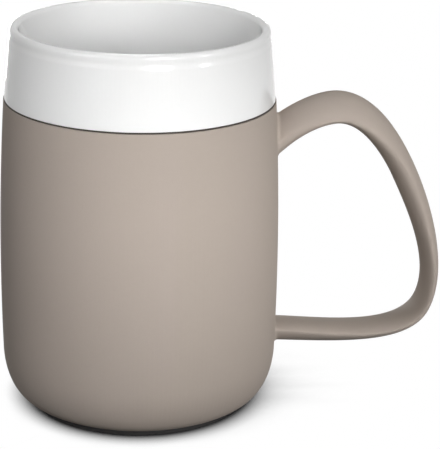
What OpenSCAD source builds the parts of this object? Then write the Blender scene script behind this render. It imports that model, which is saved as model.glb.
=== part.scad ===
// Insulated mug: a white liner in a barrel-shaped outer shell, with an air gap between the two walls,
// an open loop handle and a soft foot pad.
// Millimetres, +Z up, origin on the mug's axis at table height, handle towards +X.

/* [Outer shell] */
// Outside diameter of the shell at its belly
shell_d = 84; // [78:0.5:92]
// Height of the belly above the table
belly_z = 38; // [30:1:46]
// Outside diameter at the shell's lip
lip_d = 80.3; // [76:0.1:81]
// Height of the shell's lip above the table
lip_z = 93.7; // [86:0.1:104]
// Thickness of the shell's side wall
shell_wall = 2.4; // [2:0.1:3]
// Thickness of the wall at the lip, around the liner's spigot
lip_wall = 2; // [1.6:0.1:2.4]
// Thickness of the shell's bottom
base_t = 3.2; // [2.6:0.1:4.5]
// Width of the bottom rounding, measured inwards
corner_w = 7; // [5:0.2:9]
// Height of the bottom rounding
corner_h = 14.6; // [10:0.2:18]

/* [Liner] */
// Height of the white band above the shell's lip
band_h = 21.7; // [16:0.1:28]
// How far the band's foot lies inside the shell's lip
band_step = 0.25; // [0:0.05:0.6]
// Outside diameter of the band at the drinking edge
edge_d = 76; // [74:0.2:77]
// Inside diameter at the drinking edge
mouth_d = 70.6; // [68:0.2:72]
// Inside diameter at the floor of the cup, before its rounding
cup_floor_d = 48; // [42:1:54]
// Radius between the cup's floor and wall
cup_round = 10; // [6:0.5:14]
// Wall thickness of the cup
liner_wall = 2; // [1.6:0.1:2.4]
// Air gap between the cup's floor and the shell's bottom
floor_gap = 4.6; // [3:0.2:8]
// Length of the spigot that drops into the shell
spigot_l = 10; // [8:0.5:14]
// Wall thickness of the spigot
spigot_wall = 2.4; // [2.2:0.1:2.8]
// Gap all round between spigot and shell
spigot_gap = 0.15; // [0.1:0.05:0.3]

/* [Seal ring] */
// Thickness of the flat ring between the band and the shell's lip
seal_t = 0.4; // [0.3:0.1:0.8]
// How far the ring's edge lies inside the shell's lip
seal_inset = 0.15; // [0.1:0.05:0.5]
// Gap above, below and inside the ring
seal_gap = 0.05; // [0.02:0.01:0.1]

/* [Handle line] */
// Drop of the upper root below the shell's lip
upper_root_drop = 12.4; // [11:0.1:20]
// Rise of the upper arm at its root, in degrees
upper_root_angle = 41; // [30:1:50]
// Reach of the thumb rest from the shell's side
thumb_reach = 15.9; // [12:0.1:22]
// Drop of the thumb rest below the lip
thumb_drop = 5.6; // [4.5:0.1:12]
// Reach of the elbow from the shell's side
elbow_reach = 38.7; // [32:0.1:44]
// Drop of the elbow below the lip
elbow_drop = 23.7; // [20:0.1:32]
// Reach of the heel from the shell's side
heel_reach = 46.5; // [40:0.1:54]
// Height of the heel above the table
heel_z = 27.1; // [24:0.1:34]
// Height of the lower root above the table
lower_root_z = 20.6; // [18:0.1:24]

/* [Handle section] */
// Width of the upper arm
thumb_w = 16.8; // [12:0.2:20]
// Width at the elbow
elbow_w = 15.2; // [10:0.2:18]
// Width at the heel
heel_w = 14.4; // [9:0.2:16]
// Width of the lower root
lower_w = 12; // [9:0.2:16]
// Depth of the outer bulge at the upper root
upper_t = 4.8; // [4:0.1:7]
// Depth of the outer bulge at the thumb rest
thumb_t = 7; // [5:0.1:9]
// Depth of the outer bulge at the elbow
elbow_t = 3.3; // [2.6:0.1:6]
// Depth of the outer bulge at the heel
heel_t = 2.1; // [1.8:0.1:4]
// Depth of the outer bulge at the lower root
lower_t = 5.3; // [3:0.1:6.5]
// Depth of the crowned inner side at the upper root
upper_inner = 4.6; // [3:0.1:5.5]
// Depth of the inner side at the thumb rest
thumb_inner = 2; // [1.2:0.1:3]
// Depth of the inner side at the elbow
elbow_inner = 4.2; // [2.6:0.1:5]
// Depth of the inner side at the heel
heel_inner = 2.4; // [1.6:0.1:3.4]
// Depth of the inner side at the lower root
lower_inner = 1.5; // [0.8:0.1:2.5]
// Spread of the flare where the outer side of a root meets the shell
outer_flare = 1.5; // [1:0.1:2.4]
// Spread of the flare on the inner side
inner_flare = 0.6; // [0.3:0.1:1]
// Length over which the flares fade out
flare_l = 3; // [2:0.2:5]
// Gap between a root and the shell
seat_gap = 0.05; // [0.02:0.01:0.15]
// Width of the tongue that locates a root in the shell
tongue_w = 8; // [5:0.5:9]
// Height of that tongue
tongue_h = 4; // [3:0.2:5]
// Depth of the tongue in the shell's wall
tongue_depth = 1.2; // [0.8:0.1:1.4]
// Gap around the tongue
tongue_gap = 0.1; // [0.05:0.05:0.2]

/* [Foot pad] */
// Diameter of the foot pad
pad_d = 68; // [60:0.5:69]
// Height of the shell's underside above the table
pad_stand = 2.1; // [1.2:0.1:3]
// Depth that the pad is let into the shell's underside
pad_inset = 1.2; // [0.8:0.1:1.6]
// Gap around the pad in its recess
pad_gap = 0.1; // [0.05:0.05:0.3]
// Number of round grooves in the pad's underside
pad_grooves = 3; // [1:1:5]
// Width of a groove
pad_groove_w = 1.6; // [1:0.1:2]
// Depth of a groove
pad_groove_depth = 0.6; // [0.3:0.1:0.8]

/* [Hidden] */
$fn = 128;

white = [0.94, 0.94, 0.93];
taupe = [0.66, 0.61, 0.55];
dark_grey = [0.16, 0.16, 0.16];

// Steps along a drawn curve of the turned parts
curve_steps = 16;
// A cut runs this far past the face that it opens
past = 1;

shell_r = shell_d / 2;
lip_r = lip_d / 2;
band_r = lip_r - band_step;
socket_r = lip_r - lip_wall;
spigot_r = socket_r - spigot_gap;
mug_h = lip_z + band_h;

// The shell's side is one long shallow parabola, upright at the belly, through the lip
function side_r(z) = shell_r - (shell_r - lip_r) * ((z - belly_z) / (lip_z - belly_z)) ^ 2;

// The bottom rounding is a quarter of an ellipse below the side
corner_z = pad_stand + corner_h;
corner_r = side_r(corner_z) - corner_w;
function corner_points(w, h) = [
  for (i = [0:curve_steps]) let (a = -90 + 90 * i / curve_steps)
    [corner_r + w * cos(a), corner_z + h * sin(a)]
];
function side_points(from_z, to_z, shift) = [
  for (i = [1:curve_steps]) let (z = from_z + (to_z - from_z) * i / curve_steps)
    [side_r(z) + shift, z]
];
function reversed(list) = [for (i = [len(list) - 1:-1:0]) list[i]];
function arc(c, r, from, to, steps) = [
  for (i = [0:steps]) let (a = from + (to - from) * i / steps)
    c + r * [cos(a), sin(a)]
];

// Outline of the shell from its bottom edge to its lip, moved out by shift
function outer_line(shift) = concat(
  corner_points(corner_w + shift, corner_h + shift),
  side_points(corner_z, lip_z, shift)
);

// Cup of the liner: a cone with a rounded floor
shell_floor_z = pad_stand + base_t;
cup_floor_z = shell_floor_z + floor_gap + liner_wall;
mouth_r = mouth_d / 2;
edge_round = (edge_d - mouth_d) / 4;
edge_z = mug_h - edge_round;
cup_floor_r = cup_floor_d / 2;
cup_angle = atan((mouth_r - cup_floor_r) / (edge_z - cup_floor_z));
function cup_r(z) = cup_floor_r + (z - cup_floor_z) * tan(cup_angle);
round_c = [cup_r(cup_floor_z + cup_round) - cup_round / cos(cup_angle), cup_floor_z + cup_round];
liner_wall_flat = liner_wall / cos(cup_angle);

// Seal ring: a flat ring on the shell's lip, round the spigot and clear of the cup, that carries the band
seal_z = lip_z + seal_gap;
shoulder_z = seal_z + seal_t + seal_gap;
seal_r = lip_r - seal_inset;
seal_bore_r = max(spigot_r, cup_r(shoulder_z) + liner_wall_flat) + seal_gap;

// Handle: points [reach, height] on its line, with the direction, width and depth there
root_x = shell_r - 2;
handle_points = [
  [root_x, lip_z - upper_root_drop],
  [shell_r + thumb_reach, lip_z - thumb_drop],
  [shell_r + elbow_reach, lip_z - elbow_drop],
  [shell_r + heel_reach, heel_z],
  [root_x, lower_root_z]
];
handle_angles = [upper_root_angle, 4.5, -64, -113.5, -181.5];
handle_widths = [thumb_w, thumb_w, elbow_w, heel_w, lower_w];
handle_depths = [upper_t, thumb_t, elbow_t, heel_t, lower_t];
handle_inners = [upper_inner, thumb_inner, elbow_inner, heel_inner, lower_inner];
// Roundness of the outer and the inner side: 1 is a plain roof, 2 an ellipse
outer_powers = [1.4, 1.5, 1.7, 1.8, 1.4];
inner_powers = [2.2, 2.2, 2, 2, 2];
// How far each curve follows its end directions, as a share of its chord
curve_pull = 0.3;
// Length of the straight run of each root inside the shell's outline
root_sink = 5;
rings_per_curve = 13;
root_crowding = 1.7;
section_sides = 24;

function direction(a) = [cos(a), sin(a)];
function bezier(p, t) =
  (1 - t) ^ 3 * p[0] + 3 * t * (1 - t) ^ 2 * p[1] + 3 * t ^ 2 * (1 - t) * p[2] + t ^ 3 * p[3];
function bezier_slope(p, t) =
  (1 - t) ^ 2 * (p[1] - p[0]) + 2 * t * (1 - t) * (p[2] - p[1]) + t ^ 2 * (p[3] - p[2]);
function curve(k) =
  let (
    a = handle_points[k],
    b = handle_points[k + 1],
    pull = curve_pull * norm(b - a)
  )
  [a, a + pull * direction(handle_angles[k]), b - pull * direction(handle_angles[k + 1]), b];
function ease(t) = t * t * (3 - 2 * t);
function between(list, k, t) = list[k] + (list[k + 1] - list[k]) * ease(t);

// One station of the handle: [place, unit direction, width, outer side, inner side], each side [depth, power]
function station(k, t) =
  let (p = curve(k), slope = bezier_slope(p, t))
  [
    bezier(p, t), slope / norm(slope), between(handle_widths, k, t),
    [between(handle_depths, k, t), between(outer_powers, k, t)],
    [between(handle_inners, k, t), between(inner_powers, k, t)]
  ];
function moved_back(s, by) = [s[0] - by * s[1], s[1], s[2], s[3], s[4]];
last_curve = len(handle_points) - 2;
// The rings lie closer together towards both roots
function ring_share(k, i) =
  let (t = i / rings_per_curve)
  k == 0 ? t ^ root_crowding : k == last_curve ? 1 - (1 - t) ^ root_crowding : t;
stations = concat(
  [moved_back(station(0, 0), root_sink)],
  [for (k = [0:last_curve]) for (i = [0:rings_per_curve - 1]) station(k, ring_share(k, i))],
  [station(last_curve, 1), moved_back(station(last_curve, 1), -root_sink)]
);

function rounded(v, power) = sign(v) * abs(v) ^ (2 / power);
function section_point(s, a) =
  let (side = sin(a) >= 0 ? s[3] : s[4])
  [s[2] / 2 * rounded(cos(a), side[1]), side[0] * rounded(sin(a), side[1])];
function placed(s, p) = [s[0][0] - s[1][1] * p[1], p[0], s[0][1] + s[1][0] * p[1]];
// A root flares out as it comes close to the shell's side, more on its outer side
function flare(p, a) =
  let (
    clear = norm([p[0], p[1]]) - side_r(p[2]),
    share = 1 - max(clear, 0) / flare_l,
    spread = inner_flare + (outer_flare - inner_flare) * (1 + sin(a)) / 2
  )
  spread * max(share, 0) ^ 2;
function ring(s) = [
  for (i = [0:section_sides - 1])
    let (a = 360 * i / section_sides, p = section_point(s, a))
      placed(s, p + flare(placed(s, p), a) * direction(a))
];

// Middle height of a root where it meets the shell's side
function seat_z(k) =
  let (
    n = [-sin(handle_angles[k]), cos(handle_angles[k])],
    middle = handle_points[k] + (handle_depths[k] - handle_inners[k]) / 2 * n,
    run = side_r(middle[1]) - middle[0]
  )
  middle[1] + run * tan(handle_angles[k]);
tongue_heights = [seat_z(0), seat_z(last_curve + 1)];
// Length of a tongue inside its root
tongue_root = 1.5;

pad_r = pad_d / 2;
pad_groove_step = pad_r / (pad_grooves + 1);

module turned(points) {
  rotate_extrude() polygon(points);
}

module cup() {
  turned(concat(
    [[0, cup_floor_z - liner_wall]],
    arc(round_c, cup_round + liner_wall, -90, -cup_angle, curve_steps),
    [[mouth_r + liner_wall_flat, edge_z], [mouth_r, edge_z]],
    arc(round_c, cup_round, -cup_angle, -90, curve_steps),
    [[0, cup_floor_z]]
  ));
}

module band() {
  skirt_r = spigot_r - spigot_wall;
  fold_z = lip_z + band_h / 3;
  turned([
    [cup_r(fold_z) + liner_wall / 2, fold_z],
    [skirt_r, fold_z - band_h / 6],
    [skirt_r, lip_z - spigot_l],
    [spigot_r, lip_z - spigot_l],
    [spigot_r, shoulder_z],
    [band_r, shoulder_z],
    [edge_d / 2, edge_z],
    [mouth_r + liner_wall / 2, edge_z]
  ]);
}

module drinking_edge() {
  rotate_extrude() translate([mouth_r + edge_round, edge_z]) circle(edge_round);
}

module liner() {
  color(white)
  union() {
    cup();
    band();
    drinking_edge();
  }
}

module seal_ring() {
  color(dark_grey)
  rotate_extrude() translate([seal_bore_r, seal_z]) square([seal_r - seal_bore_r, seal_t]);
}

module shell_body() {
  socket_z = lip_z - spigot_l - past;
  turned(concat(
    [[0, pad_stand]],
    outer_line(0),
    [[socket_r, lip_z], [socket_r, socket_z]],
    reversed(side_points(corner_z, socket_z, -shell_wall)),
    reversed(corner_points(corner_w - shell_wall, corner_h - base_t)),
    [[0, shell_floor_z]]
  ));
}

module tongue(z, gap) {
  depth = tongue_depth + gap;
  translate([side_r(z) - depth, -tongue_w / 2 - gap, z - tongue_h / 2 - gap])
    cube([depth + tongue_root, tongue_w + 2 * gap, tongue_h + 2 * gap]);
}

module outer_shell() {
  color(taupe)
  difference() {
    shell_body();
    translate([0, 0, pad_stand - past]) cylinder(r = pad_r + pad_gap, h = past + pad_inset + pad_gap);
    for (z = tongue_heights) tongue(z, tongue_gap);
  }
}

module handle_sweep() {
  rings = [for (s = stations) ring(s)];
  n = section_sides;
  last = len(rings) - 1;
  sides = [
    for (j = [0:last - 1]) for (i = [0:n - 1]) let (k = (i + 1) % n)
      each [[j * n + i, (j + 1) * n + k, j * n + k], [j * n + i, (j + 1) * n + i, (j + 1) * n + k]]
  ];
  caps = [[for (i = [0:n - 1]) i], [for (i = [n - 1:-1:0]) last * n + i]];
  polyhedron([for (r = rings) each r], concat(sides, caps));
}

module handle() {
  color(taupe)
  union() {
    difference() {
      handle_sweep();
      turned(concat([[0, pad_stand]], outer_line(seat_gap), [[0, lip_z]]));
    }
    for (z = tongue_heights) tongue(z, 0);
  }
}

module foot_pad() {
  color(dark_grey)
  difference() {
    cylinder(r = pad_r, h = pad_stand + pad_inset);
    for (i = [1:pad_grooves]) translate([0, 0, -past]) difference() {
      cylinder(r = i * pad_groove_step + pad_groove_w / 2, h = past + pad_groove_depth);
      cylinder(r = i * pad_groove_step - pad_groove_w / 2, h = past + pad_groove_depth);
    }
  }
}

liner();
seal_ring();
outer_shell();
handle();
foot_pad();
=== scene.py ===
"""Looks of an insulated mug: a white liner in a taupe shell, a loop handle and a dark foot pad.

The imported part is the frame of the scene. Lengths are metres, +Z is up, the mug's axis is the Z axis
and the handle points along +X.
"""

import logging
import math
from collections.abc import Iterable, Sequence
from dataclasses import dataclass, field
from enum import Enum
from typing import ClassVar

import bpy
from mathutils import Matrix, Vector


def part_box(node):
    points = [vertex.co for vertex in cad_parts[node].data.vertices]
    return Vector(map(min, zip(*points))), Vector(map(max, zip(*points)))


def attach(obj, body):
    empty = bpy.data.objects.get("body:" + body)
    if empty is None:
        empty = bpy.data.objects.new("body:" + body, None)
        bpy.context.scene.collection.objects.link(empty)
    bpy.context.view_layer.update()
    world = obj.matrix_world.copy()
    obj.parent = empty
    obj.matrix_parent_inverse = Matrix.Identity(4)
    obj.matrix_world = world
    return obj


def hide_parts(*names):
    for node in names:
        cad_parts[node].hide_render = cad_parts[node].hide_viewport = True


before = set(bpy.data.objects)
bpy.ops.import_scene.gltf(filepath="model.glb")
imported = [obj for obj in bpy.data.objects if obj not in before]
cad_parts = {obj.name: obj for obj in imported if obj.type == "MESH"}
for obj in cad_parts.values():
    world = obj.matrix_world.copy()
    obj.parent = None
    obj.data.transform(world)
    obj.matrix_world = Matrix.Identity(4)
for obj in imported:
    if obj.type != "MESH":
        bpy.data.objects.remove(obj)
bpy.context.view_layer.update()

LOG = logging.getLogger("insulated_mug")
BODY = "root"
MM = 0.001

Point = tuple[float, float]
Colour = tuple[float, float, float]
Input = bpy.types.NodeSocket | float | None

WHITE_LIGHT: Colour = (1.0, 1.0, 1.0)


class Piece(Enum):
    """The mug's pieces: the name of each is its node in the frame, the value a short name for it."""

    liner = "liner"
    seal_ring = "seal"
    outer_shell = "shell"
    handle = "handle"
    foot_pad = "foot"


class Tone(Enum):
    """Base colours, in linear light."""

    WHITE = (0.88, 0.88, 0.875)
    TAUPE = (0.44, 0.380, 0.333)
    DARK_GREY = (0.030, 0.029, 0.029)
    # Dark umber for the seal ring; this colour is painted shade, the dark shadow line in the joint under
    # the band.
    JOINT_SHADE_UMBER = (0.060, 0.050, 0.043)


class EffectGroup(Enum):
    """Names of the shader groups that several finishes share."""

    GRAIN = "Moulded grain"
    MARKS = "Handling marks"


def rgba(colour: Colour, gain: float = 1.0) -> tuple[float, float, float, float]:
    """Returns a colour times gain, with full alpha."""
    return (colour[0] * gain, colour[1] * gain, colour[2] * gain, 1.0)


def fan(start: float, end: float, steps: int) -> list[float]:
    """Returns steps + 1 values from start to end at equal distances."""
    return [start + (end - start) * i / steps for i in range(steps + 1)]


def math_node(tree: bpy.types.NodeTree, operation: str, a: Input, b: Input = None) -> bpy.types.NodeSocket:
    """Adds a Math node to a tree.

    Args:
        tree: Tree of geometry or shader nodes.
        operation: The node's operation.
        a: First socket or number.
        b: Second socket or number, or None for an operation on one value.

    Returns:
        The node's output.
    """
    node = tree.nodes.new("ShaderNodeMath")
    node.operation = operation
    for slot, value in zip(node.inputs, (a, b)):
        if isinstance(value, bpy.types.NodeSocket):
            tree.links.new(value, slot)
        elif value is not None:
            slot.default_value = value
    return node.outputs[0]


def put(name: str, data: bpy.types.ID) -> bpy.types.Object:
    """Puts a new object in the scene.

    Args:
        name: Name of the object.
        data: Its mesh, lamp or camera.

    Returns:
        The object, at the origin.
    """
    obj = bpy.data.objects.new(name, data)
    bpy.context.scene.collection.objects.link(obj)
    return obj


@dataclass
class Outline:
    """Half section of a turned piece as points (radius, height), drawn from the axis or round a ring.

    Attributes:
        points: The points drawn so far.
        SUPPORT: Where the straight run beside a rounded corner starts, as a share of the rounding's run.
    """

    points: list[Point] = field(default_factory=list)

    SUPPORT: ClassVar[float] = 1.4

    def to(self, radius: float, height: float) -> "Outline":
        """Draws a straight line to a point and returns the outline."""
        self.points.append((radius, height))
        return self

    def through(self, points: Iterable[Point]) -> "Outline":
        """Draws lines through points and returns the outline."""
        self.points.extend(points)
        return self

    def arc(self, centre: Point, radius: float, start: float, end: float, steps: int) -> "Outline":
        """Draws an arc.

        Args:
            centre: Centre of the arc.
            radius: Radius of the arc.
            start: Angle of the first point in degrees, 0 pointing away from the axis.
            end: Angle of the last point.
            steps: Number of chords.

        Returns:
            The outline.
        """
        for angle in fan(math.radians(start), math.radians(end), steps):
            self.to(centre[0] + radius * math.cos(angle), centre[1] + radius * math.sin(angle))
        return self

    def corner(self, before: Point, tip: Point, after: Point, radius: float, steps: int = 6) -> "Outline":
        """Draws a rounded corner with a short straight run on each side, which keeps the faces flat.

        Args:
            before: Point that the line into the corner comes from.
            tip: The corner itself.
            after: Point that the line out of the corner goes to.
            radius: Radius of the rounding.
            steps: Number of chords.

        Returns:
            The outline.
        """
        corner = Vector(tip)
        back = (Vector(before) - corner).normalized()
        ahead = (Vector(after) - corner).normalized()
        half = back.angle(ahead) / 2
        run = radius / math.tan(half)
        centre = corner + (back + ahead).normalized() * (radius / math.sin(half))
        first = (corner + back * run - centre).normalized()
        last = (corner + ahead * run - centre).normalized()
        self.points.append(tuple(corner + back * run * self.SUPPORT))
        for share in fan(0.0, 1.0, steps):
            self.points.append(tuple(centre + first.slerp(last, share) * radius))
        self.points.append(tuple(corner + ahead * run * self.SUPPORT))
        return self


class Lathe:
    """Turns half sections round the mug's axis with one Geometry Nodes tree.

    Attributes:
        TREE: Name of the tree.
        SEGMENTS: Steps of a full turn.
        SEAM: Distance within which points are one, at the seam and on the axis.
        EDGE_ANGLE: Angle between faces from which an edge looks sharp.
    """

    TREE = "Turned piece"
    SEGMENTS = 192
    SEAM = 1e-6
    EDGE_ANGLE = math.radians(35)

    def __init__(self) -> None:
        """Builds the tree."""
        self.tree = bpy.data.node_groups.new(self.TREE, "GeometryNodeTree")
        self.sockets: dict[str, str] = {}
        self._interface()
        self._nodes()

    def _interface(self) -> None:
        """Gives the tree its named inputs and its output."""
        face = self.tree.interface
        face.new_socket("Section", in_out="INPUT", socket_type="NodeSocketGeometry")
        for label, kind in (
            ("Segments", "NodeSocketInt"),
            ("Edge Angle", "NodeSocketFloat"),
            ("Finish", "NodeSocketMaterial"),
        ):
            self.sockets[label] = face.new_socket(label, in_out="INPUT", socket_type=kind).identifier
        face.new_socket("Piece", in_out="OUTPUT", socket_type="NodeSocketGeometry")

    def _math(self, operation: str, a: Input, b: Input = None) -> bpy.types.NodeSocket:
        """Adds a Math node on two sockets or numbers and returns its value."""
        return math_node(self.tree, operation, a, b)

    def _nodes(self) -> None:
        """Lays a grid over the section, one column for each step of the turn, and closes its seams."""
        nodes, link = self.tree.nodes, self.tree.links.new
        given = nodes.new("NodeGroupInput").outputs
        size = nodes.new("GeometryNodeAttributeDomainSize")
        link(given["Section"], size.inputs["Geometry"])
        rows = size.outputs["Point Count"]
        grid = nodes.new("GeometryNodeMeshGrid")
        link(self._math("ADD", given["Segments"], 1.0), grid.inputs["Vertices X"])
        link(rows, grid.inputs["Vertices Y"])
        index = nodes.new("GeometryNodeInputIndex").outputs[0]
        half_a_point = 0.5
        column = self._math("FLOOR", self._math("DIVIDE", self._math("ADD", index, half_a_point), rows))
        row = self._math("SUBTRACT", index, self._math("MULTIPLY", column, rows))
        sample = nodes.new("GeometryNodeSampleIndex")
        sample.data_type = "FLOAT_VECTOR"
        link(given["Section"], sample.inputs["Geometry"])
        link(nodes.new("GeometryNodeInputPosition").outputs[0], sample.inputs["Value"])
        link(row, sample.inputs["Index"])
        section = nodes.new("ShaderNodeSeparateXYZ")
        link(sample.outputs["Value"], section.inputs[0])
        turn = self._math("MULTIPLY", self._math("DIVIDE", column, given["Segments"]), math.tau)
        place = nodes.new("ShaderNodeCombineXYZ")
        for operation, axis in (("COSINE", "X"), ("SINE", "Y")):
            share = self._math(operation, turn)
            link(self._math("MULTIPLY", section.outputs["X"], share), place.inputs[axis])
        link(section.outputs["Z"], place.inputs["Z"])
        moved = nodes.new("GeometryNodeSetPosition")
        link(grid.outputs["Mesh"], moved.inputs["Geometry"])
        link(place.outputs[0], moved.inputs["Position"])
        closed = nodes.new("GeometryNodeMergeByDistance")
        closed.inputs["Distance"].default_value = self.SEAM
        link(moved.outputs[0], closed.inputs["Geometry"])
        smooth = nodes.new("GeometryNodeSetShadeSmooth")
        smooth.domain = "EDGE"
        angle = nodes.new("GeometryNodeInputMeshEdgeAngle").outputs["Unsigned Angle"]
        link(self._math("LESS_THAN", angle, given["Edge Angle"]), smooth.inputs["Shade Smooth"])
        link(closed.outputs[0], smooth.inputs["Geometry"])
        real = nodes.new("GeometryNodeRealizeInstances")
        link(smooth.outputs[0], real.inputs["Geometry"])
        finish = nodes.new("GeometryNodeSetMaterial")
        link(real.outputs[0], finish.inputs["Geometry"])
        link(given["Finish"], finish.inputs["Material"])
        link(finish.outputs[0], nodes.new("NodeGroupOutput").inputs["Piece"])

    def turn(self, name: str, outline: Outline, material: bpy.types.Material) -> bpy.types.Object:
        """Turns an outline into a plain mesh object.

        Args:
            name: Name of the object.
            outline: Half section, anticlockwise with the axis on its left.
            material: Finish of the piece.

        Returns:
            The finished object, without modifiers.
        """
        section = bpy.data.meshes.new(f"{name}_section")
        section.from_pydata([(r, 0.0, z) for r, z in outline.points], [], [])
        obj = put(name, section)
        modifier = obj.modifiers.new(self.TREE, "NODES")
        modifier.node_group = self.tree
        modifier[self.sockets["Segments"]] = self.SEGMENTS
        modifier[self.sockets["Edge Angle"]] = self.EDGE_ANGLE
        modifier[self.sockets["Finish"]] = material
        seen = obj.evaluated_get(bpy.context.evaluated_depsgraph_get())
        mesh = bpy.data.meshes.new_from_object(seen)
        mesh.name = name
        mesh.materials.clear()
        mesh.materials.append(material)
        obj.modifiers.remove(modifier)
        obj.data = mesh
        bpy.data.meshes.remove(section)
        return obj


class GroupBuilder:
    """Small helper that fills a shader node group."""

    def __init__(self, effect: EffectGroup, inputs: dict[str, float], outputs: Sequence[str]) -> None:
        """Makes the group with its named sockets.

        Args:
            effect: Which effect the group holds.
            inputs: Name and first value of each input.
            outputs: Names of the outputs.
        """
        self.tree = bpy.data.node_groups.new(effect.value, "ShaderNodeTree")
        for label, value in inputs.items():
            socket = self.tree.interface.new_socket(label, in_out="INPUT", socket_type="NodeSocketFloat")
            socket.default_value = value
        for label in outputs:
            self.tree.interface.new_socket(label, in_out="OUTPUT", socket_type="NodeSocketFloat")
        self.given = self.tree.nodes.new("NodeGroupInput").outputs
        self.result = self.tree.nodes.new("NodeGroupOutput").inputs
        self.place = self.tree.nodes.new("ShaderNodeTexCoord").outputs["Object"]

    def noise(self, scale: bpy.types.NodeSocket, detail: float) -> bpy.types.NodeSocket:
        """Adds a noise texture on the piece's own coordinates.

        Args:
            scale: Socket with the number of features per metre.
            detail: Number of finer layers.

        Returns:
            The texture's value.
        """
        node = self.tree.nodes.new("ShaderNodeTexNoise")
        node.inputs["Detail"].default_value = detail
        self.tree.links.new(self.place, node.inputs["Vector"])
        self.tree.links.new(scale, node.inputs["Scale"])
        return node.outputs[0]

    def math(self, operation: str, a: Input, b: Input) -> bpy.types.NodeSocket:
        """Adds a Math node on two sockets or numbers and returns its value."""
        return math_node(self.tree, operation, a, b)

    def out(self, label: str, value: bpy.types.NodeSocket) -> None:
        """Sends a value to one of the group's outputs."""
        self.tree.links.new(value, self.result[label])


NOISE_MIDDLE = 0.5


def grain_group() -> bpy.types.ShaderNodeTree:
    """Builds the shared group for the fine grain that a mould leaves on plastic and rubber.

    Returns:
        The group, with the grain's height and its shade about 0.
    """
    coarse_scale = 0.21
    fine_weight, coarse_weight = 0.7, 0.3
    group = GroupBuilder(EffectGroup.GRAIN, {"Scale": 2500.0}, ("Height", "Shade"))
    fine = group.noise(group.given["Scale"], detail=2.0)
    coarse = group.noise(group.math("MULTIPLY", group.given["Scale"], coarse_scale), detail=1.0)
    fine_part = group.math("MULTIPLY", fine, fine_weight)
    coarse_part = group.math("MULTIPLY", coarse, coarse_weight)
    height = group.math("ADD", fine_part, coarse_part)
    group.out("Height", height)
    group.out("Shade", group.math("SUBTRACT", height, NOISE_MIDDLE))
    return group.tree


def marks_group() -> bpy.types.ShaderNodeTree:
    """Builds the shared group for the broad, soft marks that hands and washing leave on a surface.

    Returns:
        The group, with a roughness about its base and the mask of the marks.
    """
    inputs = {"Scale": 30.0, "Base": 0.4, "Spread": 0.1}
    group = GroupBuilder(EffectGroup.MARKS, inputs, ("Roughness", "Mask"))
    broad = group.noise(group.given["Scale"], detail=3.0)
    centred = group.math("SUBTRACT", broad, NOISE_MIDDLE)
    spread = group.math("MULTIPLY", centred, group.given["Spread"])
    group.out("Roughness", group.math("ADD", group.given["Base"], spread))
    group.out("Mask", broad)
    return group.tree


def place_group(tree: bpy.types.NodeTree, effect: EffectGroup, values: dict[str, float]) -> bpy.types.Node:
    """Places a shared group in a material.

    Args:
        tree: The material's tree.
        effect: Which group to place.
        values: The material's own values for the group's inputs.

    Returns:
        The group node.
    """
    node = tree.nodes.new("ShaderNodeGroup")
    node.node_tree = bpy.data.node_groups[effect.value]
    for label, value in values.items():
        node.inputs[label].default_value = value
    return node


@dataclass(frozen=True)
class Finish:
    """One moulded finish, with its own grain and marks.

    Attributes:
        name: Name of the material.
        tone: Base colour.
        roughness: Middle roughness.
        spread: How far the roughness wanders.
        specular: Specular level of the surface.
        grain_scale: Grain features per metre.
        grain_depth: Height of the grain in metres.
        shade: How much the grain and marks change the colour.
    """

    name: str
    tone: Tone
    roughness: float
    spread: float
    specular: float
    grain_scale: float
    grain_depth: float
    shade: float

    def material(self) -> bpy.types.Material:
        """Builds the node material.

        Returns:
            The material.
        """
        material = bpy.data.materials.new(self.name)
        material.use_nodes = True
        tree = material.node_tree
        nodes, link = tree.nodes, tree.links.new
        shader = nodes["Principled BSDF"]
        shader.inputs["Specular IOR Level"].default_value = self.specular
        grain = place_group(tree, EffectGroup.GRAIN, {"Scale": self.grain_scale})
        marks = place_group(tree, EffectGroup.MARKS, {"Base": self.roughness, "Spread": self.spread})
        link(marks.outputs["Roughness"], shader.inputs["Roughness"])
        blend = nodes.new("ShaderNodeMix")
        blend.data_type = "RGBA"
        blend.inputs["A"].default_value = rgba(self.tone.value, 1.0 - self.shade)
        blend.inputs["B"].default_value = rgba(self.tone.value, 1.0 + self.shade)
        link(math_node(tree, "ADD", marks.outputs["Mask"], grain.outputs["Shade"]), blend.inputs["Factor"])
        link(blend.outputs["Result"], shader.inputs["Base Color"])
        bump = nodes.new("ShaderNodeBump")
        bump.inputs["Distance"].default_value = self.grain_depth
        link(grain.outputs["Height"], bump.inputs["Height"])
        link(bump.outputs["Normal"], shader.inputs["Normal"])
        return material


GLOSS_WHITE = Finish(
    "Gloss white plastic", Tone.WHITE, roughness=0.08, spread=0.04, specular=0.5,
    grain_scale=900.0, grain_depth=0.000004, shade=0.01,
)
SATIN_TAUPE = Finish(
    "Satin taupe plastic", Tone.TAUPE, roughness=0.6, spread=0.08, specular=0.03,
    grain_scale=3200.0, grain_depth=0.00002, shade=0.03,
)
DARK_RUBBER = Finish(
    "Dark rubber", Tone.DARK_GREY, roughness=0.72, spread=0.10, specular=0.3,
    grain_scale=2600.0, grain_depth=0.00003, shade=0.12,
)
# The seal's dark colour is painted shade: it draws the shadow line in the joint between the band and the
# shell's lip.
SEAL_JOINT_SHADE = Finish(
    "Seal rubber with painted joint shade", Tone.JOINT_SHADE_UMBER, roughness=0.65, spread=0.10, specular=0.2,
    grain_scale=2600.0, grain_depth=0.00001, shade=0.08,
)


def seat(obj: bpy.types.Object, piece: Piece) -> bpy.types.Object:
    """Lets a finished object stand for its node in the frame.

    Args:
        obj: The finished object.
        piece: Which piece of the mug it is.

    Returns:
        The same object.
    """
    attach(obj, BODY)
    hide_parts(piece.name)
    LOG.info("%s: %d faces, finish %s", obj.name, len(obj.data.polygons), obj.data.materials[0].name)
    return obj


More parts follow.
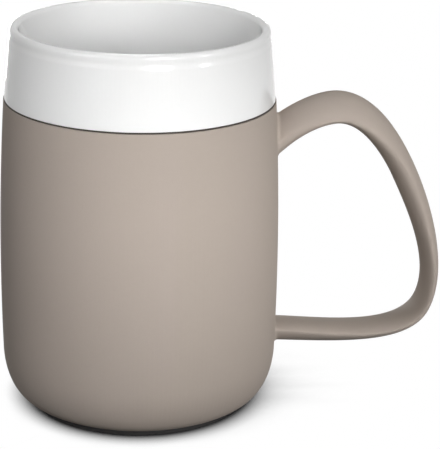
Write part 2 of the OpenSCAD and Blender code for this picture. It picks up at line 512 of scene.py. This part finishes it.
@dataclass
class OuterShell:
    """The taupe barrel-shaped body with its large bottom rounding.

    Attributes:
        belly_r: Outside radius at the belly, from the frame.
        lip_z: Height of the lip, from the frame.
        stand: Height of the underside above the table, from the frame.
        belly_z: Height of the belly.
        lip_r: Outside radius at the lip.
        corner_w: Width of the bottom rounding.
        corner_h: Height of the bottom rounding.
        wall: Thickness of the side.
        base: Thickness of the bottom.
        socket_r: Radius of the socket for the liner.
        socket_l: Depth of that socket.
        recess_r: Radius of the recess for the foot pad.
        recess_h: Depth of that recess.
        lip_break: Radius of the lip's outer edge.
    """

    belly_r: float = field(init=False)
    lip_z: float = field(init=False)
    stand: float = field(init=False)
    belly_z: float = 38.0 * MM
    lip_r: float = 40.15 * MM
    corner_w: float = 7.0 * MM
    corner_h: float = 14.6 * MM
    wall: float = 2.4 * MM
    base: float = 3.2 * MM
    socket_r: float = 38.15 * MM
    socket_l: float = 11.0 * MM
    recess_r: float = 34.1 * MM
    recess_h: float = 1.3 * MM
    lip_break: float = 0.08 * MM

    def __post_init__(self) -> None:
        """Takes the outside sizes from the frame, so that the piece stays in its box."""
        low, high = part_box(Piece.outer_shell.name)
        self.belly_r = (high.y - low.y) / 2
        self.lip_z = high.z
        self.stand = low.z

    def side_r(self, z: float) -> float:
        """Returns the outside radius of the side at a height."""
        share = (z - self.belly_z) / (self.lip_z - self.belly_z)
        return self.belly_r - (self.belly_r - self.lip_r) * share * share

    def side(self, low: float, high: float, inset: float, steps: int = 28) -> list[Point]:
        """Returns points up the side between two heights, moved in by inset."""
        return [(self.side_r(z) - inset, z) for z in fan(low, high, steps)]

    def corner(self, inset: float, lift: float, steps: int = 28) -> list[Point]:
        """Draws the bottom rounding, from the underside to the side.

        Args:
            inset: How far the line is moved in from the outside.
            lift: How far it is lifted from the underside.
            steps: Number of chords.

        Returns:
            The points, as radius and height.
        """
        top = self.stand + self.corner_h
        inner_r = self.side_r(top) - self.corner_w
        width, height = self.corner_w - inset, self.corner_h - lift
        return [
            (inner_r + width * math.cos(a), top + height * math.sin(a))
            for a in fan(-math.pi / 2, 0.0, steps)
        ]

    def outline(self) -> Outline:
        """Draws the half section, from the recess round the outside to the inner floor.

        Returns:
            The outline.
        """
        recess_top = self.stand + self.recess_h
        corner_top = self.stand + self.corner_h
        socket_end = self.lip_z - self.socket_l
        rise = self.side(corner_top, self.lip_z, inset=0.0)
        lip_inside = (self.socket_r, self.lip_z)
        line = Outline().to(0.0, recess_top).to(self.recess_r, recess_top)
        line.to(self.recess_r, self.stand)
        line.through(self.corner(inset=0.0, lift=0.0)[:-1])
        line.through(rise[:-1])
        line.corner(rise[-2], rise[-1], lip_inside, self.lip_break)
        line.to(*lip_inside).to(self.socket_r, socket_end)
        line.through(reversed(self.side(corner_top, socket_end, self.wall)))
        line.through(self.corner(self.wall, self.base)[-2::-1])
        return line.to(0.0, self.stand + self.base)

    def build(self, lathe: Lathe, material: bpy.types.Material) -> bpy.types.Object:
        """Turns the shell and returns it, seated in the frame."""
        return seat(lathe.turn("shell_body", self.outline(), material), Piece.outer_shell)


@dataclass
class Liner:
    """The white inner cup with its drinking edge, outer band and spigot.

    Attributes:
        shell: The shell that carries the liner.
        top_z: Height of the drinking edge, from the frame.
        band_r: Outside radius of the band at its foot.
        edge_r: Outside radius at the drinking edge.
        mouth_r: Inside radius at the drinking edge.
        floor_r: Inside radius at the cup's floor, before its rounding.
        floor_z: Height of the cup's floor.
        floor_round: Radius between floor and wall.
        wall: Wall thickness.
        spigot_l: Length of the spigot.
        spigot_wall: Wall thickness of the spigot.
        spigot_gap: Gap to the shell's socket.
        fold_rise: Height above the shell's lip at which the cup's outside meets the spigot's slope.
        fold_drop: Height of that slope.
        seal_gap: Gap between the seal and the band's foot.
        edge_break: Radius of the band's lower edge.
        band_lead: Height of the band's first straight run above its foot.
        bead: How far the drinking edge stands out past the cove below it.
        bead_h: Height of that cove.
        cove_lead: Part of the cove left straight at each end, as a share of its height.
        wall_lead: Straight run of the inside wall next to its roundings.
    """

    shell: OuterShell
    top_z: float = field(init=False)
    band_r: float = 39.9 * MM
    edge_r: float = 38.0 * MM
    mouth_r: float = 35.3 * MM
    floor_r: float = 24.0 * MM
    floor_z: float = 11.9 * MM
    floor_round: float = 10.0 * MM
    wall: float = 2.0 * MM
    spigot_l: float = 10.0 * MM
    spigot_wall: float = 2.4 * MM
    spigot_gap: float = 0.15 * MM
    fold_rise: float = 3.5 * MM
    fold_drop: float = 2.0 * MM
    seal_gap: float = 0.05 * MM
    edge_break: float = 0.08 * MM
    band_lead: float = 2.0 * MM
    bead: float = 0.15 * MM
    bead_h: float = 3.0 * MM
    cove_lead: float = 0.08
    wall_lead: float = 1.0 * MM

    def __post_init__(self) -> None:
        """Takes the height from the frame."""
        self.top_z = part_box(Piece.liner.name)[1].z

    @property
    def spigot_r(self) -> float:
        """Outside radius of the spigot."""
        return self.shell.socket_r - self.spigot_gap

    @property
    def edge_round(self) -> float:
        """Radius of the drinking edge."""
        return (self.edge_r - self.mouth_r) / 2

    @property
    def edge_z(self) -> float:
        """Height of the middle of the drinking edge."""
        return self.top_z - self.edge_round

    def cup_r(self, z: float) -> float:
        """Returns the inside radius of the cup's cone at a height."""
        rise = self.edge_z - self.floor_z
        return self.floor_r + (self.mouth_r - self.floor_r) * (z - self.floor_z) / rise

    def _band(self, foot_z: float) -> list[Point]:
        """Draws the band's side and the shallow cove under the drinking edge.

        Args:
            foot_z: Height of the band's foot.

        Returns:
            The points, from the foot upwards.
        """
        lean = (self.band_r - self.edge_r) / (self.edge_z - foot_z)
        plain = fan(foot_z + self.band_lead, self.edge_z - self.bead_h, steps=8)
        points = [(self.edge_r + lean * (self.edge_z - z), z) for z in plain]
        for share in fan(1.0 - self.cove_lead, self.cove_lead, steps=14):
            drop = share * self.bead_h
            dip = self.bead * math.sin(math.pi * share) ** 2
            points.append((self.edge_r + lean * drop - dip, self.edge_z - drop))
        return points

    def outline(self) -> Outline:
        """Draws the half section, from the cup's underside round the band into the cup.

        Returns:
            The outline.
        """
        lip = self.shell.lip_z
        slope = math.degrees(math.atan2(self.mouth_r - self.floor_r, self.edge_z - self.floor_z))
        cosine = math.cos(math.radians(slope))
        round_z = self.floor_z + self.floor_round
        round_c = (self.cup_r(round_z) - self.floor_round / cosine, round_z)
        skirt_r = self.spigot_r - self.spigot_wall
        spigot_z = lip - self.spigot_l
        fold_z = lip + self.fold_rise
        foot = (self.spigot_r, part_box(Piece.seal_ring.name)[1].z + self.seal_gap)
        inside = fan(self.edge_z - self.wall_lead, round_z + self.wall_lead, steps=24)
        line = Outline().to(0.0, self.floor_z - self.wall)
        line.arc(round_c, self.floor_round + self.wall, -90.0, -slope, steps=16)
        line.to(self.cup_r(fold_z) + self.wall / cosine, fold_z).to(skirt_r, fold_z - self.fold_drop)
        line.to(skirt_r, spigot_z).to(self.spigot_r, spigot_z).to(*foot)
        line.corner(foot, (self.band_r, foot[1]), (self.edge_r, self.edge_z), self.edge_break)
        line.through(self._band(foot[1]))
        line.arc((self.edge_r - self.edge_round, self.edge_z), self.edge_round, 0.0, 180.0, steps=28)
        line.through((self.cup_r(z), z) for z in inside)
        line.arc(round_c, self.floor_round, -slope, -90.0, steps=20)
        return line.to(0.0, self.floor_z)

    def build(self, lathe: Lathe, material: bpy.types.Material) -> bpy.types.Object:
        """Turns the liner and returns it, seated in the frame."""
        return seat(lathe.turn("liner_cup", self.outline(), material), Piece.liner)


@dataclass
class SealRing:
    """The flat ring between the shell's lip and the band, with the size that the frame gives it; its dark
    colour is painted shade, the shadow line of the joint.

    Attributes:
        liner: The liner that stands on the ring.
        bore_gap: Gap between the ring and the liner's spigot.
        edge_round: Radius of the ring's outer edges.
    """

    liner: Liner
    bore_gap: float = 0.05 * MM
    edge_round: float = 0.06 * MM

    def outline(self) -> Outline:
        """Draws the ring's section, closed round its bore.

        Returns:
            The outline.
        """
        low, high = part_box(Piece.seal_ring.name)
        outer = (high.y - low.y) / 2
        bore = self.liner.spigot_r + self.bore_gap
        line = Outline().to(bore, low.z)
        line.corner((bore, low.z), (outer, low.z), (outer, high.z), self.edge_round)
        line.corner((outer, low.z), (outer, high.z), (bore, high.z), self.edge_round)
        return line.to(bore, high.z).to(bore, low.z)

    def build(self, lathe: Lathe, material: bpy.types.Material) -> bpy.types.Object:
        """Turns the ring and returns it, seated in the frame."""
        return seat(lathe.turn("seal_washer", self.outline(), material), Piece.seal_ring)


@dataclass
class FootPad:
    """The dark non-slip pad let into the shell's underside.

    Attributes:
        grooves: Number of round grooves.
        groove_w: Width of a groove.
        groove_depth: Depth of a groove.
        edge_round: Radius of the pad's lower edge.
        groove_round: Radius of the grooves' edges.
        groove_steps: Chords of a groove's rounded edge.
    """

    grooves: int = 3
    groove_w: float = 1.6 * MM
    groove_depth: float = 0.6 * MM
    edge_round: float = 0.2 * MM
    groove_round: float = 0.2 * MM
    groove_steps: int = 4

    def outline(self) -> Outline:
        """Draws the half section, with the grooves in the underside.

        Returns:
            The outline.
        """
        low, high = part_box(Piece.foot_pad.name)
        pad_r = (high.y - low.y) / 2
        step = pad_r / (self.grooves + 1)
        bottom = low.z
        roof = bottom + self.groove_depth
        middle, rim = (0.0, bottom), (pad_r, bottom)
        line = Outline().to(*middle)
        for number in range(1, self.grooves + 1):
            inner = number * step - self.groove_w / 2
            outer = number * step + self.groove_w / 2
            line.corner(middle, (inner, bottom), (inner, roof), self.groove_round, self.groove_steps)
            line.to(inner, roof).to(outer, roof)
            line.corner((outer, roof), (outer, bottom), rim, self.groove_round, self.groove_steps)
        line.corner(middle, rim, (pad_r, high.z), self.edge_round)
        return line.to(pad_r, high.z).to(0.0, high.z)

    def build(self, lathe: Lathe, material: bpy.types.Material) -> bpy.types.Object:
        """Turns the pad and returns it, seated in the frame."""
        return seat(lathe.turn("foot_disc", self.outline(), material), Piece.foot_pad)


@dataclass(frozen=True)
class Station:
    """One stop on the handle's line.

    Attributes:
        x: Distance from the mug's axis.
        z: Height above the table.
        heading: Direction of the line there, in degrees above +X.
        width: Width of the section.
        outer: Depth of the outer side.
        inner: Depth of the inner side.
        outer_power: Roundness of the outer side, 1 for a plain roof and 2 for an ellipse.
        inner_power: Roundness of the inner side.
    """

    x: float
    z: float
    heading: float
    width: float
    outer: float
    inner: float
    outer_power: float
    inner_power: float

    @property
    def place(self) -> Vector:
        """Place on the line, in the handle's plane."""
        return Vector((self.x, self.z))

    @property
    def ahead(self) -> Vector:
        """Unit direction of the line, in the handle's plane."""
        angle = math.radians(self.heading)
        return Vector((math.cos(angle), math.sin(angle)))


UPPER_ROOT = Station(
    x=40.0 * MM, z=81.3 * MM, heading=41.0, width=16.8 * MM,
    outer=4.8 * MM, inner=4.6 * MM, outer_power=1.4, inner_power=2.2,
)
THUMB_REST = Station(
    x=57.9 * MM, z=88.1 * MM, heading=4.5, width=16.8 * MM,
    outer=7.0 * MM, inner=2.0 * MM, outer_power=1.5, inner_power=2.2,
)
ELBOW = Station(
    x=80.7 * MM, z=70.0 * MM, heading=-64.0, width=15.2 * MM,
    outer=3.3 * MM, inner=4.2 * MM, outer_power=1.7, inner_power=2.0,
)
HEEL = Station(
    x=88.46 * MM, z=27.1 * MM, heading=-113.5, width=14.4 * MM,
    outer=2.1 * MM, inner=2.4 * MM, outer_power=1.8, inner_power=2.0,
)
LOWER_ROOT = Station(
    x=40.0 * MM, z=20.6 * MM, heading=-181.5, width=12.0 * MM,
    outer=5.3 * MM, inner=1.5 * MM, outer_power=1.4, inner_power=2.0,
)


@dataclass
class Handle:
    """The open loop handle: one section drawn along four curves, with fillets where it meets the shell.

    Attributes:
        shell: The shell that carries the handle.
        stations: Stops on the line, from the upper root to the lower one.
        pull: How far a curve follows its end directions, as a share of its chord.
        sink: Length of the straight run of each root inside the shell.
        sides: Points round the section.
        rings: Sections between the two root fillets.
        fillet_outer: Fillet radius on the outside of the loop.
        fillet_inner: Fillet radius on the inside of the loop.
        fillet_steps: Chords of a fillet.
        tuck: Depth of the last section inside the shell's wall.
        skin: Depth of the section just inside the shell's face.
        flare: How far these two sections reach past the fillet.
        search_in: How far into the shell a root is looked for, in straight runs.
        search_out: How far along its first curve a root is looked for, as a share of the curve.
        halvings: How often that search is halved.
    """

    shell: OuterShell
    stations: tuple[Station, ...] = (UPPER_ROOT, THUMB_REST, ELBOW, HEEL, LOWER_ROOT)
    pull: float = 0.3
    sink: float = 8.0 * MM
    sides: int = 64
    rings: int = 150
    fillet_outer: float = 1.5 * MM
    fillet_inner: float = 0.6 * MM
    fillet_steps: int = 8
    tuck: float = 0.8 * MM
    skin: float = 0.1 * MM
    flare: float = 0.4 * MM
    search_in: float = 1.0
    search_out: float = 0.8
    halvings: int = 40

    def _line(self, u: float) -> tuple[Vector, Vector]:
        """Finds a place on the handle's line.

        Args:
            u: Curve number plus share of that curve. Below 0 and past the last curve the line runs on
                straight into the shell.

        Returns:
            The place and the unit direction, in the handle's plane.
        """
        last = len(self.stations) - 1
        if u < 0.0:
            first = self.stations[0]
            return first.place + first.ahead * u * self.sink, first.ahead
        if u > last:
            end = self.stations[last]
            return end.place + end.ahead * (u - last) * self.sink, end.ahead
        k = min(int(u), last - 1)
        t = u - k
        a, b = self.stations[k], self.stations[k + 1]
        reach = self.pull * (b.place - a.place).length
        p = (a.place, a.place + a.ahead * reach, b.place - b.ahead * reach, b.place)
        s = 1.0 - t
        place = p[0] * s**3 + p[1] * 3 * t * s * s + p[2] * 3 * t * t * s + p[3] * t**3
        slope = (p[1] - p[0]) * s * s + (p[2] - p[1]) * 2 * t * s + (p[3] - p[2]) * t * t
        return place, slope.normalized()

    def _between(self, u: float, name: str) -> float:
        """Finds a size of the section, eased between the stations on both sides.

        Args:
            u: Place on the line.
            name: Name of the station's value.

        Returns:
            The value there.
        """
        last = len(self.stations) - 1
        v = min(max(u, 0.0), float(last))
        k = min(int(v), last - 1)
        t = v - k
        a, b = getattr(self.stations[k], name), getattr(self.stations[k + 1], name)
        return a + (b - a) * t * t * (3.0 - 2.0 * t)

    def _skin(self, u: float, angle: float) -> tuple[Vector, Vector]:
        """Finds a point of the plain section, without fillets.

        Args:
            u: Place on the line.
            angle: Angle round the section: 0 at the +Y side, a quarter turn at the outer side.

        Returns:
            The point, and the direction away from the middle of the section.
        """
        place, ahead = self._line(u)
        outside = math.sin(angle) >= 0.0
        power = self._between(u, "outer_power" if outside else "inner_power")
        depth = self._between(u, "outer" if outside else "inner")
        across, away = math.cos(angle), math.sin(angle)
        y = self._between(u, "width") / 2 * math.copysign(abs(across) ** (2.0 / power), across)
        v = depth * math.copysign(abs(away) ** (2.0 / power), away)
        normal = Vector((-ahead.y, ahead.x))
        point = Vector((place.x + normal.x * v, y, place.y + normal.y * v))
        return point, Vector((normal.x * away, across, normal.y * away))

    def _gap(self, point: Vector) -> float:
        """Returns how far a point lies outside the shell's side."""
        return math.hypot(point.x, point.y) - self.shell.side_r(point.z)

    def _root(self, angle: float, gap: float, upper: bool) -> float:
        """Finds where a lane along the handle comes to a given gap from the shell.

        Args:
            angle: The lane's angle round the section.
            gap: Wanted distance from the shell.
            upper: True for the upper root, False for the lower one.

        Returns:
            The place on the line.
        """
        last = float(len(self.stations) - 1)
        near, far = -self.search_in, self.search_out
        if not upper:
            near, far = last - near, last - far
        for _ in range(self.halvings):
            middle = (near + far) / 2
            if self._gap(self._skin(middle, angle)[0]) < gap:
                near = middle
            else:
                far = middle
        return (near + far) / 2

    def _fillet(self, angle: float) -> float:
        """Returns the fillet radius at an angle round the section."""
        share = (1.0 + math.sin(angle)) / 2
        return self.fillet_inner + (self.fillet_outer - self.fillet_inner) * share

    def _spread(self, angle: float, gap: float, spread: float, upper: bool) -> Vector:
        """Moves a point near a root along the shell.

        Args:
            angle: Angle round the section.
            gap: Distance from the shell.
            spread: How far the point moves along the shell, away from the handle.
            upper: True for the upper root.

        Returns:
            The moved point, at the same distance from the shell.
        """
        point, away = self._skin(self._root(angle, gap, upper), angle)
        radial = Vector((point.x, point.y, 0.0)).normalized()
        along = (away - radial * away.dot(radial)).normalized()
        moved = point + along * spread
        reach = (self.shell.side_r(moved.z) + gap) / math.hypot(moved.x, moved.y)
        return Vector((moved.x * reach, moved.y * reach, moved.z))

    def _root_lane(self, angle: float, upper: bool) -> list[Vector]:
        """Draws one lane over a root's fillet.

        Args:
            angle: The lane's angle round the section.
            upper: True for the upper root.

        Returns:
            The points, from inside the shell's wall outwards.
        """
        radius = self._fillet(angle)
        steps = [(-depth, radius + self.flare) for depth in (self.tuck, self.skin)]
        steps += [
            (radius * (1.0 - math.cos(a)), radius * (1.0 - math.sin(a)))
            for a in fan(0.0, math.pi / 2, self.fillet_steps)
        ]
        return [self._spread(angle, gap, spread, upper) for gap, spread in steps]

    def _lane(self, angle: float) -> list[Vector]:
        """Draws one lane along the whole handle.

        Args:
            angle: The lane's angle round the section.

        Returns:
            The points, from the upper root to the lower one.
        """
        radius = self._fillet(angle)
        start, end = self._root(angle, radius, True), self._root(angle, radius, False)
        middle = [self._skin(u, angle)[0] for u in fan(start, end, self.rings)[1:-1]]
        return self._root_lane(angle, True) + middle + self._root_lane(angle, False)[::-1]

    def build(self, material: bpy.types.Material) -> bpy.types.Object:
        """Draws the handle as one closed skin.

        Args:
            material: Finish of the handle.

        Returns:
            The handle, seated in the frame.
        """
        lanes = [self._lane(math.tau * i / self.sides) for i in range(self.sides)]
        count = len(lanes[0])
        points = [lane[j] for j in range(count) for lane in lanes]
        faces = [
            (j * self.sides + i, j * self.sides + k, (j + 1) * self.sides + k, (j + 1) * self.sides + i)
            for j in range(count - 1)
            for i, k in ((i, (i + 1) % self.sides) for i in range(self.sides))
        ]
        faces.append(tuple(reversed(range(self.sides))))
        faces.append(tuple(range((count - 1) * self.sides, count * self.sides)))
        mesh = bpy.data.meshes.new("handle_loop")
        mesh.from_pydata(points, [], faces)
        mesh.shade_smooth()
        mesh.materials.append(material)
        return seat(put("handle_loop", mesh), Piece.handle)


@dataclass(frozen=True)
class Lamp:
    """One soft box.

    Attributes:
        name: Name of the lamp.
        azimuth: Direction in degrees, 0 in front of the mug and 90 on the handle's side.
        elevation: Height in degrees above the point that the lamp faces.
        distance: Distance from that point.
        width: Width of the box.
        height: Height of the box.
        power: Power in watts.
        beam: Angle in degrees that the light fans out over.
        aim: Point that the lamp faces, on the mug's middle plane as (x, z).
    """

    name: str
    azimuth: float
    elevation: float
    distance: float
    width: float
    height: float
    power: float
    beam: float = 180.0
    aim: Point = (0.0, 60.0 * MM)

    def place(self) -> bpy.types.Object:
        """Hangs the lamp, facing its point.

        Returns:
            The lamp's object.
        """
        light = bpy.data.lights.new(self.name, "AREA")
        light.shape = "RECTANGLE"
        light.size, light.size_y = self.width, self.height
        light.energy = self.power
        light.spread = math.radians(self.beam)
        obj = put(self.name, light)
        a, e = math.radians(self.azimuth), math.radians(self.elevation)
        away = Vector((math.sin(a) * math.cos(e), -math.cos(a) * math.cos(e), math.sin(e)))
        turn = away.to_track_quat("Z", "Y").to_matrix().to_4x4()
        target = Vector((self.aim[0], 0.0, self.aim[1]))
        obj.matrix_world = Matrix.Translation(target + away * self.distance) @ turn
        return obj


FRONT_BOX = Lamp(
    "front", azimuth=12.0, elevation=17.0, distance=0.36, width=0.12, height=0.12,
    power=0.072, beam=42.0,
)
LEFT_BOX = Lamp(
    "left", azimuth=-50.0, elevation=30.0, distance=0.36, width=0.16, height=0.16,
    power=0.34,
)
RIGHT_BOX = Lamp(
    "right", azimuth=46.0, elevation=16.0, distance=0.36, width=0.12, height=0.12,
    power=0.036, beam=31.0, aim=(92.0 * MM, 60.0 * MM),
)
RIM_BOX = Lamp(
    "rim", azimuth=180.0, elevation=62.0, distance=0.18, width=0.06, height=0.06,
    power=0.013, beam=56.0, aim=(-4.0 * MM, 115.0 * MM),
)
BACK_BOX = Lamp(
    "back", azimuth=180.0, elevation=-3.0, distance=0.36, width=0.20, height=0.06,
    power=0.5,
)


@dataclass
class Studio:
    """Floor, backdrop, light and camera.

    Attributes:
        lamps: The soft boxes.
        ambient: Strength of the plain light from all round.
        floor_tone: Tone of the floor for the light that it throws back at the mug.
        floor_reach: How far off the mug still shades the floor.
        floor_samples: Rays that measure that shade.
        floor_dark: Share of open sky below which the floor is black.
        floor_full: Share of open sky from which the floor is white.
        floor_size: Side of the floor.
        camera_away: Horizontal distance of the camera from the mug's axis.
        camera_side: Azimuth of the camera in degrees, negative on the side away from the handle.
        camera_z: Height of the camera.
        heading: Direction of view in degrees, to the right of +Y.
        pitch: Tilt of the view below the horizon, in degrees.
        roll: Turn of the camera about its own view, in degrees.
        lens: Focal length in millimetres.
        sensor: Sensor size in millimetres along the picture's long side.
        clip: Nearest and farthest distance that the camera sees.
    """

    lamps: tuple[Lamp, ...] = (FRONT_BOX, LEFT_BOX, RIGHT_BOX, RIM_BOX, BACK_BOX)
    ambient: float = 0.02
    floor_tone: float = 0.05
    floor_reach: float = 120.0 * MM
    floor_samples: int = 32
    floor_dark: float = 0.16
    floor_full: float = 0.55
    floor_size: float = 8.0
    camera_away: float = 492.7 * MM
    camera_side: float = -3.62
    camera_z: float = 225.2 * MM
    heading: float = 6.442
    pitch: float = 19.144
    roll: float = 1.158
    lens: float = 138.11
    sensor: float = 36.0
    clip: Point = (0.01, 50.0)

    @staticmethod
    def _looked_at(tree: bpy.types.NodeTree) -> bpy.types.NodeSocket:
        """Makes a mask of the rays that show a surface.

        Args:
            tree: The material's or the world's tree.

        Returns:
            The socket, 1 for the camera, in reflections and through clear things, and 0 for other rays.
        """
        path = tree.nodes.new("ShaderNodeLightPath").outputs
        total = path["Is Camera Ray"]
        for label in ("Is Glossy Ray", "Is Transmission Ray"):
            total = math_node(tree, "MAXIMUM", total, path[label])
        return total

    def floor_material(self) -> bpy.types.Material:
        """Makes pale paper: white where it sees open sky, shaded where the mug stands close.

        Returns:
            The material.
        """
        material = bpy.data.materials.new("Pale paper")
        material.use_nodes = True
        nodes, link = material.node_tree.nodes, material.node_tree.links.new
        nodes.clear()
        paper = nodes.new("ShaderNodeBsdfDiffuse")
        paper.inputs["Color"].default_value = rgba(WHITE_LIGHT, self.floor_tone)
        open_sky = nodes.new("ShaderNodeAmbientOcclusion")
        open_sky.samples = self.floor_samples
        open_sky.inputs["Distance"].default_value = self.floor_reach
        level = nodes.new("ShaderNodeMapRange")
        level.inputs["From Min"].default_value = self.floor_dark
        level.inputs["From Max"].default_value = self.floor_full
        link(open_sky.outputs["AO"], level.inputs["Value"])
        shown = nodes.new("ShaderNodeEmission")
        link(level.outputs["Result"], shown.inputs["Strength"])
        both = nodes.new("ShaderNodeMixShader")
        link(self._looked_at(material.node_tree), both.inputs["Fac"])
        link(paper.outputs[0], both.inputs[1])
        link(shown.outputs[0], both.inputs[2])
        link(both.outputs[0], nodes.new("ShaderNodeOutputMaterial").inputs["Surface"])
        return material

    def floor(self) -> bpy.types.Object:
        """Lays the floor.

        Returns:
            The floor.
        """
        half = self.floor_size / 2
        corners = [(-half, -half, 0.0), (half, -half, 0.0), (half, half, 0.0), (-half, half, 0.0)]
        mesh = bpy.data.meshes.new("floor")
        mesh.from_pydata(corners, [], [(0, 1, 2, 3)])
        mesh.materials.append(self.floor_material())
        obj = put("floor", mesh)
        return obj

    def world(self) -> None:
        """Makes a white ground for the camera and a dim plain light for the mug."""
        world = bpy.data.worlds.new("Studio")
        world.use_nodes = True
        nodes, link = world.node_tree.nodes, world.node_tree.links.new
        level = nodes.new("ShaderNodeMapRange")
        level.inputs["To Min"].default_value = self.ambient
        link(self._looked_at(world.node_tree), level.inputs["Value"])
        link(level.outputs["Result"], nodes["Background"].inputs["Strength"])
        nodes["Background"].inputs["Color"].default_value = rgba(WHITE_LIGHT)
        bpy.context.scene.world = world

    def camera(self) -> bpy.types.Object:
        """Sets up the camera.

        Returns:
            The camera's object.
        """
        data = bpy.data.cameras.new("camera")
        data.sensor_width = self.sensor
        data.lens = self.lens
        data.clip_start, data.clip_end = self.clip
        obj = put("camera", data)
        side = math.radians(self.camera_side)
        place = Vector((math.sin(side), -math.cos(side), 0.0)) * self.camera_away
        place.z = self.camera_z
        turn = Matrix.Rotation(-math.radians(self.heading), 4, "Z")
        tilt = Matrix.Rotation(math.pi / 2 - math.radians(self.pitch), 4, "X")
        roll = Matrix.Rotation(math.radians(self.roll), 4, "Z")
        obj.matrix_world = Matrix.Translation(place) @ turn @ tilt @ roll
        bpy.context.scene.camera = obj
        return obj

    def build(self) -> None:
        """Sets up the whole studio."""
        self.camera()
        self.floor()
        self.world()
        for lamp in self.lamps:
            lamp.place()
        bpy.context.scene.view_settings.view_transform = "Standard"


def main() -> None:
    """Builds the studio and the mug, piece by piece."""
    logging.basicConfig(level=logging.INFO, format="%(message)s")
    Studio().build()
    grain_group()
    marks_group()
    taupe = SATIN_TAUPE.material()
    lathe = Lathe()
    shell = OuterShell()
    shell.build(lathe, taupe)
    liner = Liner(shell)
    liner.build(lathe, GLOSS_WHITE.material())
    SealRing(liner).build(lathe, SEAL_JOINT_SHADE.material())
    Handle(shell).build(taupe)
    FootPad().build(lathe, DARK_RUBBER.material())


if __name__ == "__main__":
    main()
